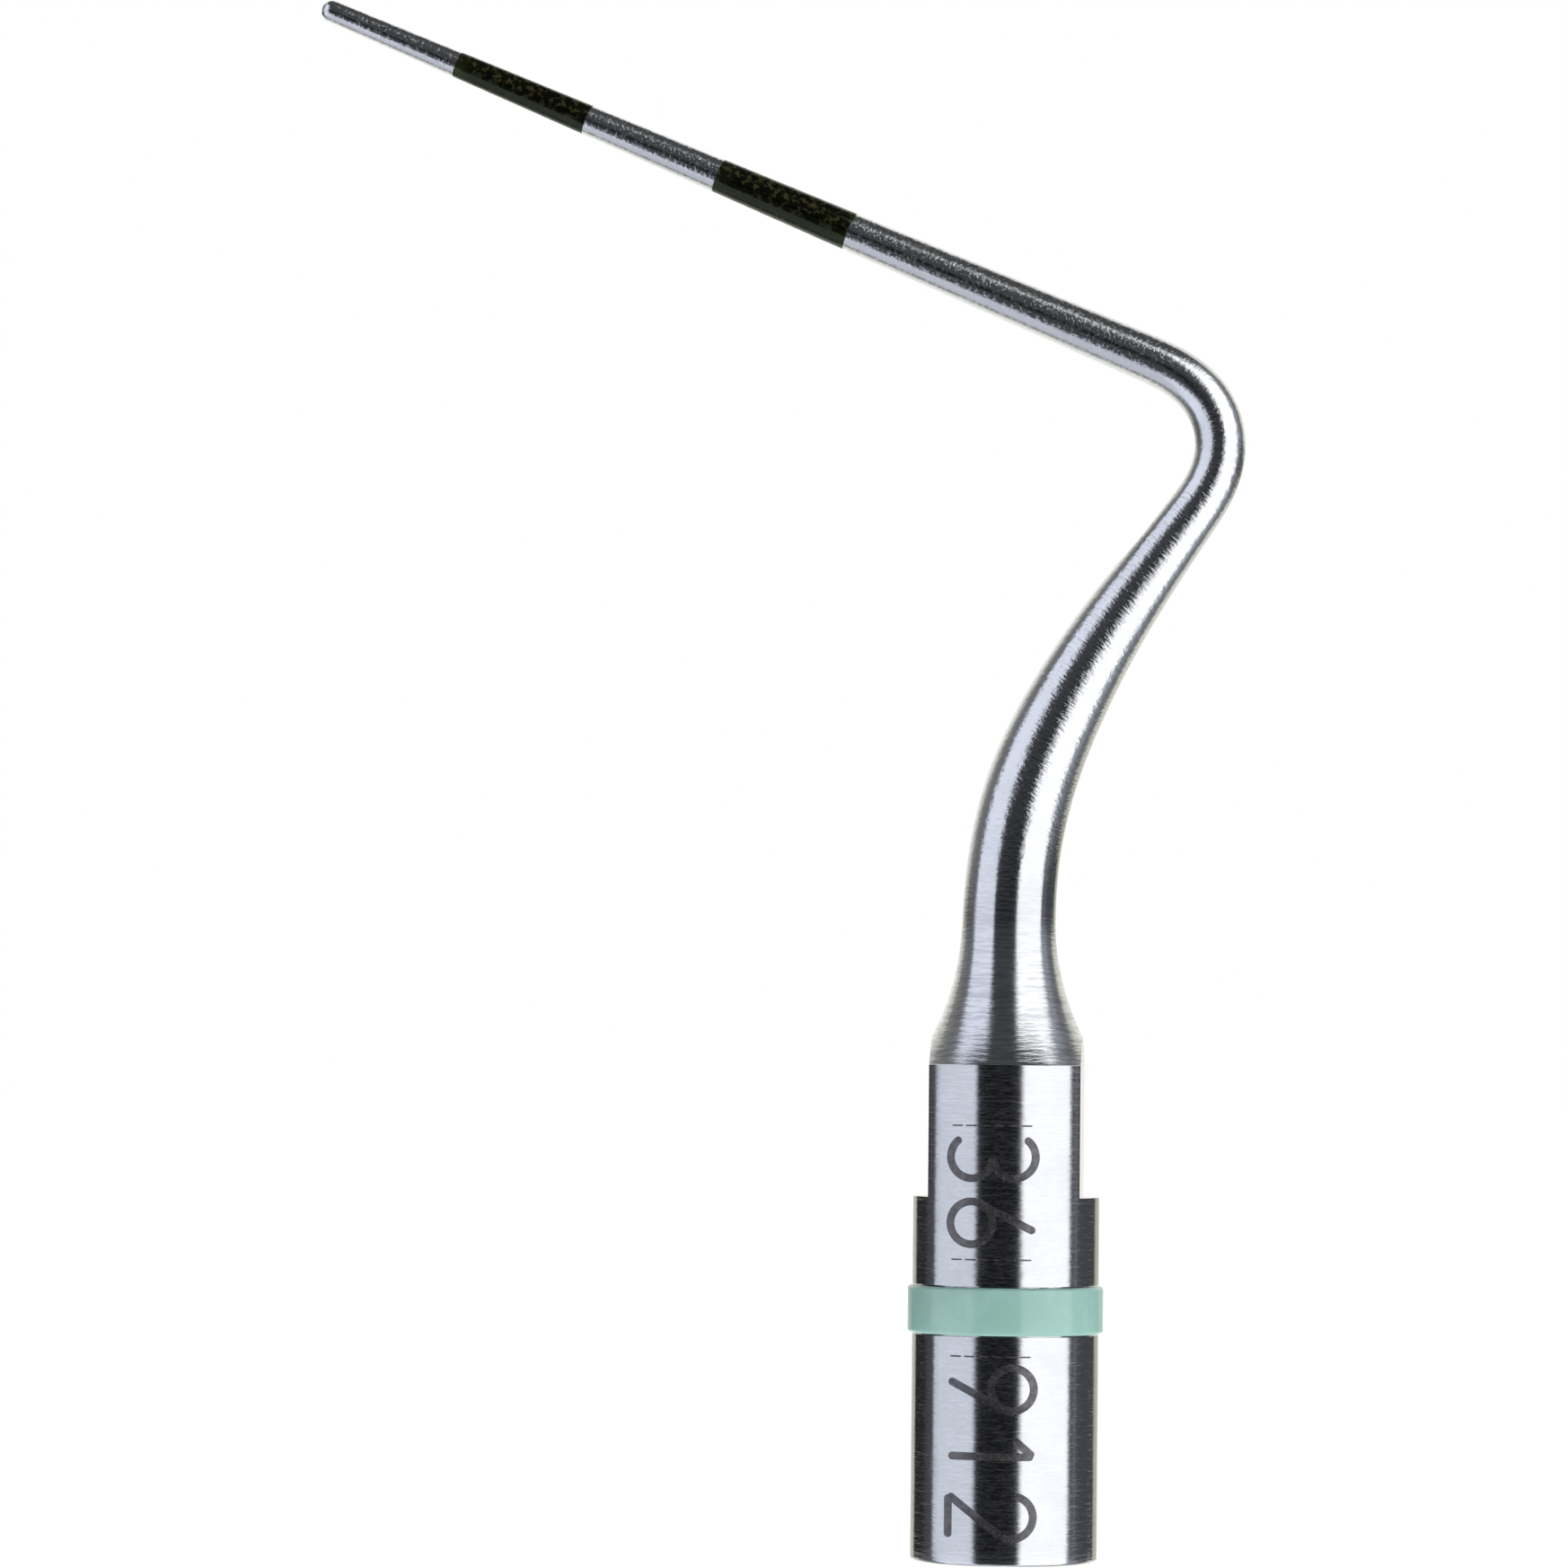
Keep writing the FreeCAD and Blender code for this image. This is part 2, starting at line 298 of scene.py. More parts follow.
def makeBoreSweep():
    # bore cutter: a circle swept along a line, with a helical ridge cut outwards
    tree = bpy.data.node_groups.new("boreSweep", "GeometryNodeTree")
    inputs = [("Geometry", "NodeSocketGeometry", None), ("Sides", "NodeSocketInt", 96),
              ("Core Radius", "NodeSocketFloat", 1.2), ("Thread Ridge", "NodeSocketFloat", 0.0),
              ("Pitch", "NodeSocketFloat", 0.6),
              ("Thread End", "NodeSocketFloat", 4.0), ("Fade", "NodeSocketFloat", 0.3),
              ("Material", "NodeSocketMaterial", None)]
    given, result = addSockets(tree, inputs, [("Geometry", "NodeSocketGeometry")])
    g = given.outputs
    bore = tree.nodes.new("GeometryNodeInputNamedAttribute")
    bore.data_type = "FLOAT"
    bore.inputs["Name"].default_value = "radius"
    wire = tree.nodes.new("GeometryNodeMeshToCurve")
    tree.links.new(g["Geometry"], wire.inputs[0])
    circle = tree.nodes.new("GeometryNodeCurvePrimitiveCircle")
    tree.links.new(g["Sides"], circle.inputs["Resolution"])
    circle.inputs["Radius"].default_value = 1.0
    skin = tree.nodes.new("GeometryNodeCurveToMesh")
    tree.links.new(wire.outputs[0], skin.inputs["Curve"])
    tree.links.new(circle.outputs[0], skin.inputs["Profile Curve"])
    tree.links.new(calc(tree, "MULTIPLY", bore.outputs[0], mm), skin.inputs["Scale"])
    skin.inputs["Fill Caps"].default_value = True

    # the ridge rises one pitch with each turn to the right
    place = tree.nodes.new("GeometryNodeInputPosition")
    parts = tree.nodes.new("ShaderNodeSeparateXYZ")
    tree.links.new(place.outputs[0], parts.inputs[0])
    x, y, z = parts.outputs
    height = calc(tree, "DIVIDE", z, mm)
    turn = calc(tree, "DIVIDE", calc(tree, "ARCTAN2", y, x), 2.0 * math.pi)
    wound = calc(tree, "SUBTRACT", calc(tree, "DIVIDE", height, g["Pitch"]), turn)
    phase = calc(tree, "FRACT", wound)
    vee = calc(tree, "SUBTRACT", 1.0, calc(tree, "ABSOLUTE", calc(
        tree, "SUBTRACT", calc(tree, "MULTIPLY", phase, 2.0), 1.0)))
    vee = calc(tree, "DIVIDE", calc(tree, "SUBTRACT", vee, 0.15), 0.7, clamp=True)
    starts = ramp(tree, height, -0.05, 0.05)
    ends = ramp(tree, height, calc(tree, "SUBTRACT", g["Thread End"], g["Fade"]), g["Thread End"],
                1.0, 0.0)
    outward = calc(tree, "MULTIPLY", calc(tree, "MULTIPLY", vee, g["Thread Ridge"]),
                   calc(tree, "MULTIPLY", starts, ends))
    away = calc(tree, "ADD", calc(tree, "POWER", x, 2.0), calc(tree, "POWER", y, 2.0))
    away = calc(tree, "SQRT", away)
    awayMm = calc(tree, "DIVIDE", calc(tree, "MAXIMUM", away, 0.01 * mm), mm)
    outer = calc(tree, "MAXIMUM", awayMm, calc(tree, "ADD", g["Core Radius"], outward))
    growth = calc(tree, "DIVIDE", outer, awayMm)
    keep = calc(tree, "GREATER_THAN", g["Thread Ridge"], 0.0)
    growth = calc(tree, "ADD", 1.0, calc(tree, "MULTIPLY", keep, calc(tree, "SUBTRACT", growth, 1.0)))
    moved = tree.nodes.new("ShaderNodeCombineXYZ")
    tree.links.new(calc(tree, "MULTIPLY", x, growth), moved.inputs[0])
    tree.links.new(calc(tree, "MULTIPLY", y, growth), moved.inputs[1])
    tree.links.new(z, moved.inputs[2])
    inside = calc(tree, "MULTIPLY", calc(tree, "GREATER_THAN", height, -0.05),
                  calc(tree, "LESS_THAN", height, g["Thread End"]))
    shift = tree.nodes.new("GeometryNodeSetPosition")
    tree.links.new(skin.outputs[0], shift.inputs["Geometry"])
    tree.links.new(inside, shift.inputs["Selection"])
    tree.links.new(moved.outputs[0], shift.inputs["Position"])
    closeTree(tree, shift.outputs[0], g["Material"], result)
    return tree


def makeEngravedStroke():
    # strokes drawn flat, given a shallow channel section, then wrapped onto the hub's front
    tree = bpy.data.node_groups.new("engravedStroke", "GeometryNodeTree")
    inputs = [("Geometry", "NodeSocketGeometry", None), ("Hub Radius", "NodeSocketFloat", 1.9),
              ("Point Spacing", "NodeSocketFloat", 0.02), ("Floor", "NodeSocketFloat", 0.02),
              ("Lip", "NodeSocketFloat", 0.05), ("Foot", "NodeSocketFloat", 0.2),
              ("Material", "NodeSocketMaterial", None)]
    given, result = addSockets(tree, inputs, [("Geometry", "NodeSocketGeometry")])
    g = given.outputs
    width = tree.nodes.new("GeometryNodeInputNamedAttribute")
    width.data_type = "FLOAT"
    width.inputs["Name"].default_value = "width"
    wire = tree.nodes.new("GeometryNodeMeshToCurve")
    tree.links.new(g["Geometry"], wire.inputs[0])
    points = tree.nodes.new("GeometryNodeResampleCurve")
    points.mode = "LENGTH"
    tree.links.new(wire.outputs[0], points.inputs["Curve"])
    tree.links.new(calc(tree, "MULTIPLY", g["Point Spacing"], mm), points.inputs["Length"])
    upright = tree.nodes.new("GeometryNodeSetCurveNormal")
    upright.mode = "Z_UP"
    tree.links.new(points.outputs[0], upright.inputs["Curve"])

    # both ends of an open stroke are round
    spot = tree.nodes.new("GeometryNodeSplineParameter")
    whole = tree.nodes.new("GeometryNodeSplineLength")
    toEnd = calc(tree, "MINIMUM", spot.outputs["Length"],
                 calc(tree, "SUBTRACT", whole.outputs["Length"], spot.outputs["Length"]))
    loop = tree.nodes.new("GeometryNodeInputSplineCyclic")
    toEnd = calc(tree, "ADD", toEnd, loop.outputs[0])
    halfWidth = calc(tree, "MULTIPLY", width.outputs[0], 0.5 * mm)
    short = calc(tree, "SUBTRACT", 1.0, calc(tree, "DIVIDE", toEnd, halfWidth), clamp=True)
    rounding = calc(tree, "SQRT", calc(tree, "MAXIMUM", calc(
        tree, "SUBTRACT", 1.0, calc(tree, "POWER", short, 2.0)), 0.002))

    # channel section: a hollow floor between two low lips, and a foot sunk in the steel
    circle = tree.nodes.new("GeometryNodeCurvePrimitiveCircle")
    circle.inputs["Resolution"].default_value = 12
    circle.inputs["Radius"].default_value = 1.0
    corner = tree.nodes.new("GeometryNodeInputPosition")
    axes = tree.nodes.new("ShaderNodeSeparateXYZ")
    tree.links.new(corner.outputs[0], axes.inputs[0])
    across, upward = axes.outputs[0], axes.outputs[1]
    lips = calc(tree, "ADD", g["Floor"], calc(
        tree, "MULTIPLY", g["Lip"], calc(tree, "POWER", calc(tree, "ABSOLUTE", across), 2.0)))
    onTop = calc(tree, "GREATER_THAN", upward, -0.001)
    level = calc(tree, "SUBTRACT", calc(tree, "MULTIPLY", lips, onTop), calc(
        tree, "MULTIPLY", g["Foot"], calc(tree, "SUBTRACT", 1.0, onTop)))
    shaped = tree.nodes.new("ShaderNodeCombineXYZ")
    tree.links.new(across, shaped.inputs[0])
    tree.links.new(calc(tree, "MULTIPLY", level, -1.0), shaped.inputs[1])
    section = tree.nodes.new("GeometryNodeSetPosition")
    tree.links.new(circle.outputs[0], section.inputs["Geometry"])
    tree.links.new(shaped.outputs[0], section.inputs["Position"])
    skin = tree.nodes.new("GeometryNodeCurveToMesh")
    tree.links.new(upright.outputs[0], skin.inputs["Curve"])
    tree.links.new(section.outputs[0], skin.inputs["Profile Curve"])
    tree.links.new(calc(tree, "MULTIPLY", halfWidth, rounding), skin.inputs["Scale"])
    skin.inputs["Fill Caps"].default_value = True

    place = tree.nodes.new("GeometryNodeInputPosition")
    parts = tree.nodes.new("ShaderNodeSeparateXYZ")
    tree.links.new(place.outputs[0], parts.inputs[0])
    x, y, rise = parts.outputs
    reach = calc(tree, "ADD", calc(tree, "MULTIPLY", g["Hub Radius"], mm), rise)
    depth = calc(tree, "SQRT", calc(tree, "SUBTRACT", calc(tree, "POWER", reach, 2.0),
                                    calc(tree, "POWER", x, 2.0)))
    wrapped = tree.nodes.new("ShaderNodeCombineXYZ")
    tree.links.new(x, wrapped.inputs[0])
    tree.links.new(calc(tree, "MULTIPLY", depth, -1.0), wrapped.inputs[1])
    tree.links.new(y, wrapped.inputs[2])
    bend = tree.nodes.new("GeometryNodeSetPosition")
    tree.links.new(skin.outputs[0], bend.inputs["Geometry"])
    tree.links.new(wrapped.outputs[0], bend.inputs["Position"])
    closeTree(tree, bend.outputs[0], g["Material"], result)
    return tree


def makeTurningMarks():
    # fine cutter lines: quick changes along the body, slow ones round it
    tree = bpy.data.node_groups.new("turningMarks", "ShaderNodeTree")
    inputs = [("Along", "NodeSocketFloat", 0.0), ("Lines per mm", "NodeSocketFloat", 12.0),
              ("Changes per mm", "NodeSocketFloat", 2.0)]
    given, result = addSockets(tree, inputs, [("Height", "NodeSocketFloat"),
                                              ("Streak", "NodeSocketFloat")])
    g = given.outputs
    place = tree.nodes.new("ShaderNodeTexCoord")
    parts = tree.nodes.new("ShaderNodeSeparateXYZ")
    tree.links.new(place.outputs["Object"], parts.inputs[0])
    slow = calc(tree, "MULTIPLY", g["Changes per mm"], 1.0 / mm)
    spot = tree.nodes.new("ShaderNodeCombineXYZ")
    tree.links.new(calc(tree, "MULTIPLY", parts.outputs[0], slow), spot.inputs[0])
    tree.links.new(calc(tree, "MULTIPLY", parts.outputs[1], slow), spot.inputs[1])
    tree.links.new(calc(tree, "MULTIPLY", g["Along"], g["Lines per mm"]), spot.inputs[2])
    fine = tree.nodes.new("ShaderNodeTexNoise")
    tree.links.new(spot.outputs[0], fine.inputs["Vector"])
    fine.inputs["Scale"].default_value = 1.0
    fine.inputs["Detail"].default_value = 3.0
    fine.inputs["Roughness"].default_value = 0.65
    tree.links.new(fine.outputs[0], result.inputs["Height"])
    tree.links.new(ramp(tree, fine.outputs[0], 0.42, 0.64), result.inputs["Streak"])
    return tree


def makeGrainField():
    # cloudy mask in real millimetres, for grain, specks and stains
    tree = bpy.data.node_groups.new("grainField", "ShaderNodeTree")
    inputs = [("Grains per mm", "NodeSocketFloat", 10.0), ("Low", "NodeSocketFloat", 0.45),
              ("High", "NodeSocketFloat", 0.6), ("Seed", "NodeSocketFloat", 1.0)]
    given, result = addSockets(tree, inputs, [("Mask", "NodeSocketFloat"),
                                              ("Height", "NodeSocketFloat")])
    g = given.outputs
    place = tree.nodes.new("ShaderNodeTexCoord")
    cloud = tree.nodes.new("ShaderNodeTexNoise")
    cloud.noise_dimensions = "4D"
    tree.links.new(place.outputs["Object"], cloud.inputs["Vector"])
    tree.links.new(g["Seed"], cloud.inputs["W"])
    tree.links.new(calc(tree, "MULTIPLY", g["Grains per mm"], 1.0 / mm), cloud.inputs["Scale"])
    cloud.inputs["Detail"].default_value = 3.0
    cloud.inputs["Roughness"].default_value = 0.6
    tree.links.new(ramp(tree, cloud.outputs[0], g["Low"], g["High"]), result.inputs["Mask"])
    tree.links.new(cloud.outputs[0], result.inputs["Height"])
    return tree


turningMarks = makeTurningMarks()
grainField = makeGrainField()


def newMaterial(name, settings):
    # a material with its shader, and the shader's plain values set on its own sockets
    material = bpy.data.materials.new(name)
    material.use_nodes = True
    tree = material.node_tree
    shader = tree.nodes["Principled BSDF"]
    for socket, value in settings.items():
        shader.inputs[socket].default_value = value
    return material, tree, shader


def useGroup(tree, group, values):
    node = tree.nodes.new("ShaderNodeGroup")
    node.node_tree = group
    for name, value in values.items():
        socketValue(tree, node.inputs[name], value)
    return node.outputs


def blendColours(tree, factor, first, second):
    node = tree.nodes.new("ShaderNodeMix")
    node.data_type = "RGBA"
    socketValue(tree, node.inputs[0], factor)
    socketValue(tree, node.inputs[6], first)
    socketValue(tree, node.inputs[7], second)
    return node.outputs[2]


def addBump(tree, height, depth, before=None):
    node = tree.nodes.new("ShaderNodeBump")
    node.inputs["Strength"].default_value = 1.0
    socketValue(tree, node.inputs["Distance"], depth)
    tree.links.new(height, node.inputs["Height"])
    if before is not None:
        tree.links.new(before, node.inputs["Normal"])
    return node.outputs[0]


def readAlong(tree):
    node = tree.nodes.new("ShaderNodeAttribute")
    node.attribute_name = "along"
    return node.outputs["Fac"]


# polished turned steel: finest on the hub, coarser on flare and shank, grainy on the arm
# hubEnds to armStarts are path lengths in mm over which one finish gives way to the next
steelFinish = {
    "light": (0.84, 0.85, 0.87, 1.0),
    "dark": (0.60, 0.61, 0.64, 1.0),
    "hubMarks": {"Lines per mm": 13.0, "Changes per mm": 1.2},
    "flareMarks": {"Lines per mm": 17.0, "Changes per mm": 1.4},
    "shankMarks": {"Lines per mm": 15.0, "Changes per mm": 5.0},
    "stain": {"Grains per mm": 1.3, "Low": 0.40, "High": 0.66, "Seed": 2.0},
    "armGrit": {"Grains per mm": 15.0, "Low": 0.50, "High": 0.68, "Seed": 5.0},
    "pits": {"Grains per mm": 5.0, "Low": 0.70, "High": 0.74, "Seed": 11.0},
    "hubEnds": (10.10, 10.25),
    "flareFades": (11.4, 14.5),
    "shankStarts": (12.5, 16.0),
    "armStarts": (24.0, 27.0),
    "hubDepth": 0.0070 * mm,
    "flareDepth": 0.0100 * mm,
    "shankDepth": 0.0165 * mm,
    "armHaze": 0.0034 * mm,
    "armDepth": 0.0019 * mm,
    "hubRoughness": 0.12,
    "flareRoughness": 0.14,
    "shankRoughness": 0.11,
    "armRoughness": 0.14,
    "stainRoughness": 0.03,
    "stainShare": 0.15,
    "pitShare": 0.5,
}


def makeSteel():
    finish = steelFinish
    material, tree, shader = newMaterial("polishedSteel", {"Metallic": 1.0})
    along = readAlong(tree)
    fine = useGroup(tree, turningMarks, {"Along": along, **finish["hubMarks"]})
    cut = useGroup(tree, turningMarks, {"Along": along, **finish["flareMarks"]})
    coarse = useGroup(tree, turningMarks, {"Along": along, **finish["shankMarks"]})
    stain = useGroup(tree, grainField, finish["stain"])
    grit = useGroup(tree, grainField, finish["armGrit"])
    pits = useGroup(tree, grainField, finish["pits"])
    offHub = ramp(tree, along, *finish["hubEnds"])
    onHub = calc(tree, "SUBTRACT", 1.0, offHub)
    onFlare = calc(tree, "MULTIPLY", offHub, ramp(tree, along, *finish["flareFades"], 1.0, 0.0))
    onArm = ramp(tree, along, *finish["armStarts"])
    onShank = calc(tree, "MULTIPLY", ramp(tree, along, *finish["shankStarts"]),
                   calc(tree, "SUBTRACT", 1.0, onArm))

    colour = finish["light"]
    for mask, share in ((cut["Streak"], onFlare), (stain["Mask"], finish["stainShare"]),
                        (pits["Mask"], finish["pitShare"])):
        colour = blendColours(tree, calc(tree, "MULTIPLY", mask, share), colour, finish["dark"])
    tree.links.new(colour, shader.inputs["Base Color"])

    rough = finish["hubRoughness"]
    for where, change in (
            (offHub, finish["shankRoughness"] - finish["hubRoughness"]),
            (onFlare, finish["flareRoughness"] - finish["shankRoughness"]),
            (onArm, finish["armRoughness"] - finish["shankRoughness"]),
            (stain["Mask"], finish["stainRoughness"])):
        rough = calc(tree, "ADD", rough, calc(tree, "MULTIPLY", where, change))
    tree.links.new(rough, shader.inputs["Roughness"])

    normal = None
    for height, where, depth in (
            (fine["Height"], onHub, "hubDepth"), (cut["Height"], onFlare, "flareDepth"),
            (coarse["Height"], onShank, "shankDepth"), (grit["Height"], onArm, "armHaze"),
            (grit["Mask"], onArm, "armDepth")):
        normal = addBump(tree, height, calc(tree, "MULTIPLY", where, finish[depth]), normal)
    tree.links.new(normal, shader.inputs["Normal"])
    return material


def addGrain(tree, shader, finish, grain):
    # grains are a little rougher than the ground, and stand off it
    rough = calc(tree, "MULTIPLY", grain["Mask"], finish["grainRoughness"])
    tree.links.new(calc(tree, "ADD", finish["roughness"], rough), shader.inputs["Roughness"])
    tree.links.new(addBump(tree, grain["Height"], finish["depth"]), shader.inputs["Normal"])


# burnt-in depth bands: near black, olive towards their ends, with brownish specks in the coat
# that are painted strongest on the side that faces up, as a painted highlight of the upper side
bandFinish = {
    "black": (0.0015, 0.0013, 0.0006, 1.0),
    "olive": (0.010, 0.013, 0.003, 1.0),
    "brown": (0.050, 0.038, 0.010, 1.0),
    "tint": (0.78, 1.0, 0.66, 1.0),
    "specular": 0.56,
    "specks": {"Grains per mm": 9.0, "Low": 0.50, "High": 0.60, "Seed": 3.0},
    "cloud": {"Grains per mm": 2.0, "Low": 0.40, "High": 0.65, "Seed": 7.0},
    "oliveReach": (0.05, 0.55),
    # normal heights over which the specks' painted highlight on the upward side grows
    "speckPaintedHighlightShare": (-0.15, 0.25, 0.12, 0.75),
    "roughness": 0.15,
    "grainRoughness": 0.25,
    "depth": 0.0030 * mm,
}


def makeBandCoat(name, start, end):
    finish = bandFinish
    material, tree, shader = newMaterial(name, {
        "Specular IOR Level": finish["specular"], "Specular Tint": finish["tint"]})
    along = readAlong(tree)
    specks = useGroup(tree, grainField, finish["specks"])
    cloud = useGroup(tree, grainField, finish["cloud"])
    toEdge = calc(tree, "MINIMUM", calc(tree, "SUBTRACT", along, start),
                  calc(tree, "SUBTRACT", end, along))
    nearEdge = ramp(tree, toEdge, *finish["oliveReach"], 1.0, 0.0)
    colour = blendColours(tree, calc(tree, "MULTIPLY", nearEdge, cloud["Mask"]),
                          finish["black"], finish["olive"])
    # painted highlight: the brown specks show more where the surface faces up
    surface = tree.nodes.new("ShaderNodeNewGeometry")
    facing = tree.nodes.new("ShaderNodeSeparateXYZ")
    tree.links.new(surface.outputs["Normal"], facing.inputs[0])
    share = ramp(tree, facing.outputs[2], *finish["speckPaintedHighlightShare"])
    colour = blendColours(tree, calc(tree, "MULTIPLY", specks["Mask"], share),
                          colour, finish["brown"])
    tree.links.new(colour, shader.inputs["Base Color"])
    addGrain(tree, shader, finish, specks)
    return material


# glossy moulded polymer of the colour ring
ringFinish = {
    "mint": (0.36, 0.62, 0.55, 1.0),
    "pale": (0.42, 0.69, 0.62, 1.0),
    "specular": 0.85,
    "glowShare": 0.25,
    "glowRadius": (0.25, 0.45, 0.40),
    "glowScale": 0.6 * mm,
    "cloud": {"Grains per mm": 1.1, "Low": 0.35, "High": 0.68, "Seed": 4.0},
    "grain": {"Grains per mm": 12.0, "Low": 0.5, "High": 0.7, "Seed": 8.0},
    "roughness": 0.13,
    "grainRoughness": 0.12,
    "depth": 0.0010 * mm,
}


def makeRingPolymer():
    finish = ringFinish
    material, tree, shader = newMaterial("mintPolymer", {
        "Specular IOR Level": finish["specular"], "Subsurface Weight": finish["glowShare"],
        "Subsurface Radius": finish["glowRadius"], "Subsurface Scale": finish["glowScale"]})
    cloud = useGroup(tree, grainField, finish["cloud"])
    colour = blendColours(tree, cloud["Mask"], finish["mint"], finish["pale"])
    tree.links.new(colour, shader.inputs["Base Color"])
    addGrain(tree, shader, finish, useGroup(tree, grainField, finish["grain"]))
    return material


# dark fill of the engraving
engravingFinish = {
    "dark": (0.125, 0.127, 0.145, 1.0),
    "warm": (0.200, 0.190, 0.188, 1.0),
    "metallic": 0.85,
    "cloud": {"Grains per mm": 6.0, "Low": 0.38, "High": 0.64, "Seed": 6.0},
    "grain": {"Grains per mm": 22.0, "Low": 0.45, "High": 0.65, "Seed": 9.0},
    "roughness": 0.24,
    "grainRoughness": 0.2,
    "depth": 0.0025 * mm,
}


def makeEngravingFill():
    finish = engravingFinish
    material, tree, shader = newMaterial("engravingFill", {"Metallic": finish["metallic"]})
    cloud = useGroup(tree, grainField, finish["cloud"])
    colour = blendColours(tree, cloud["Mask"], finish["dark"], finish["warm"])
    tree.links.new(colour, shader.inputs["Base Color"])
    addGrain(tree, shader, finish, useGroup(tree, grainField, finish["grain"]))
    return material


tipSweep = makeTipSweep()
boreSweep = makeBoreSweep()
engravedStroke = makeEngravedStroke()
steel = makeSteel()
print("node trees and steel ready")


def runTree(name, wire, tree, values):
    # a wire with a geometry tree on it, still live
    item = linkObject(name, wire)
    modifier = item.modifiers.new(name, "NODES")
    modifier.node_group = tree
    setInputs(modifier, tree, values)
    return item


# dark depth bands, measured back from the tip
depthBands = {
    "marks": [(3, 6), (9, 12)],
    "scaleZero": 0.13,
    "recess": 0.036,
    "proud": 0.003,
    "edgeRound": 0.012,
    "sides": 64,
}


def bandSpan(near, far):
    zero = tipPath["length"] - depthBands["scaleZero"]
    return zero - far, zero - near


def bodyStations():
    # path lengths and recess depths of the rings that the body is drawn through
    body = tipBody
    steps = []
    for i in range(7):
        steps.append((body["rimRound"] * (1.0 - math.cos(math.radians(15.0 * i))), 0.0))
    wall = 0.004    # run of a groove's nearly upright side
    groove = body["grooveDepth"]
    steps += [(s, 0.0) for s in spread(0.3, body["grooveBottom"], 0.5)]
    steps += [(body["grooveBottom"], 0.0), (body["grooveBottom"] + wall, groove)]
    steps += [(body["grooveTop"] - wall, groove), (body["grooveTop"], 0.0)]
    steps += [(s, 0.0) for s in spread(6.0, body["hubTop"], 0.5)]
    steps += [(body["hubTop"], 0.0)]
    reached = body["hubTop"] + 0.01
    for near, far in sorted(depthBands["marks"], reverse=True):
        start, end = bandSpan(near, far)
        steps += [(s, 0.0) for s in spread(reached, start, 0.11)]
        steps += [(start, 0.0), (start + wall, depthBands["recess"])]
        steps += [(s, depthBands["recess"]) for s in spread(start + 0.2, end - 0.1, 0.2)]
        steps += [(end - wall, depthBands["recess"]), (end, 0.0)]
        reached = end + 0.1
    ballStart = tipPath["length"] - body["tipRadius"]
    steps += [(s, 0.0) for s in spread(reached, ballStart, 0.15)]
    for i in range(13):
        steps.append((ballStart + body["tipRadius"] * math.sin(math.radians(7.4 * i)), 0.0))
    return steps


wrenchFlats = {"across": 3.10, "shoulder": 7.45, "reach": 12.0, "overhang": 0.5}


def makeFlatCutters():
    # one box each side removes the hub beside the two flats
    flats = wrenchFlats
    cutter = bmesh.new()
    for side in (-1.0, 1.0):
        near = flats["across"] / 2.0
        far = tipBody["hubRadius"] + flats["overhang"]
        middle = Vector((side * (near + far) / 2.0, 0, (flats["shoulder"] + flats["reach"]) / 2.0))
        size = Vector((far - near, 2.0 * far, flats["reach"] - flats["shoulder"]))
        place = Matrix.LocRotScale(middle * mm, None, size * mm)
        bmesh.ops.create_cube(cutter, size=1.0, matrix=place)
    mesh = bpy.data.meshes.new("flatCutters")
    cutter.to_mesh(mesh)
    cutter.free()
    return linkObject("flatCutters", mesh)


threadHole = {
    "coreRadius": 1.20,
    "ridge": 0.30,
    "pitch": 0.60,
    "depth": 4.60,
    "mouthRadius": 1.55,
    "pointAngle": 118.0,
    "sides": 96,
}


def makeThreadCutter():
    hole = threadHole
    cone = hole["mouthRadius"] - hole["coreRadius"]
    point = hole["coreRadius"] / math.tan(math.radians(hole["pointAngle"] / 2.0))
    steps = [(-0.4, hole["mouthRadius"] + 0.4)]
    for z in spread(0.0, cone, 0.035):
        steps.append((z, hole["mouthRadius"] - z))
    steps += [(z, hole["coreRadius"]) for z in spread(cone, hole["depth"], 0.035)]
    steps.append((hole["depth"], hole["coreRadius"]))
    steps.append((hole["depth"] + point * 0.999, hole["coreRadius"] * 0.001))
    wire = wireMesh("threadWire", [(0, 0, z) for z, radius in steps],
                    {"radius": [radius for z, radius in steps]})
    return runTree("threadCutter", wire, boreSweep, {
        "Sides": hole["sides"], "Core Radius": hole["coreRadius"], "Thread Ridge": hole["ridge"],
        "Pitch": hole["pitch"], "Thread End": hole["depth"], "Material": steel})


waterPassage = {
    "radius": 0.25,
    "leavesAxis": 18.30,
    "slope": 0.21,
    "ease": 0.60,
    "end": 24.00,
    "sides": 32,
}


def passagePoint(s):
    # the passage drifts to the inner side of the shank and comes out there
    past = max(s - waterPassage["leavesAxis"], 0.0)
    drift = waterPassage["slope"] * past * past / (past + waterPassage["ease"])
    heading = directionAt(s)
    return pointAt(s) + Vector((-heading.z, 0, heading.x)) * drift


def makeWaterCutter():
    points = [passagePoint(s) for s in spread(threadHole["depth"], waterPassage["end"], 0.2)]
    wire = wireMesh("waterWire", points, {"radius": [waterPassage["radius"]] * len(points)})
    return runTree("waterCutter", wire, boreSweep, {
        "Sides": waterPassage["sides"], "Thread Ridge": 0.0, "Material": steel})


